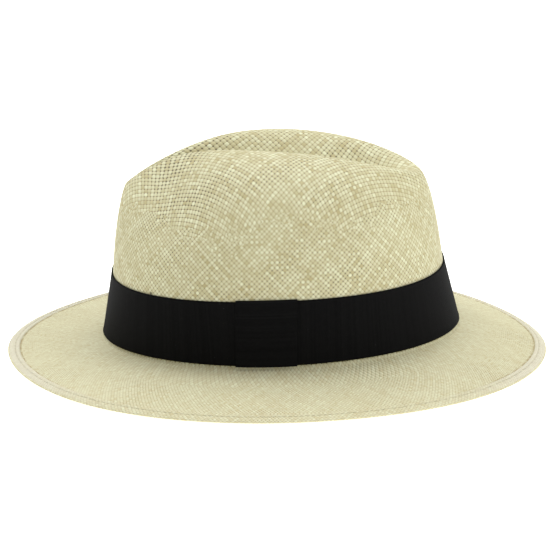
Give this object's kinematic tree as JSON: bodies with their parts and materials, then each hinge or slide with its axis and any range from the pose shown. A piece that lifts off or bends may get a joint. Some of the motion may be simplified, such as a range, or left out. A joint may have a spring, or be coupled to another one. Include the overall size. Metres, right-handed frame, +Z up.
{
  "type": "panama hat",
  "caption": "Woven straw hat with a creased, front-pinched crown, a wide flat ribbon band with a plain knot, a stitched brim edge and an inner sweatband.",
  "frame": {"origin": "centre of the brim's outline at the level of the surface that the hat stands on", "axes": "+Z up, -X towards the hat's front, -Y towards the wearer's left, which carries the knot of the band"},
  "size_m": [0.3149, 0.2822, 0.1225],
  "materials": {
    "straw": "undyed pale woven palm straw, matt with a faint sheen on each strand",
    "straw_thread": "pale cotton sewing thread",
    "ribbon": "black ribbed grosgrain ribbon, matt",
    "black_thread": "black sewing thread",
    "sweatband_leather": "smooth tan sheepskin",
    "reed_leather": "the same tan leather turned over the reed",
    "seam_thread": "cream sewing thread",
    "satin": "narrow black satin ribbon",
    "label": "blank white woven label"
  },
  "bodies": {
    "root": {"straw_body": "straw", "hem_thread_top": "straw_thread", "hem_thread_under": "straw_thread", "hat_band": "ribbon", "band_knot": "ribbon", "band_tack_1": "black_thread", "band_tack_2": "black_thread", "band_tack_3": "black_thread", "band_tack_4": "black_thread", "sweatband": "sweatband_leather", "sweatband_reed": "reed_leather", "sweatband_thread": "seam_thread", "sweatband_bow": "satin", "size_label": "label"}
  },
  "joints": []
}
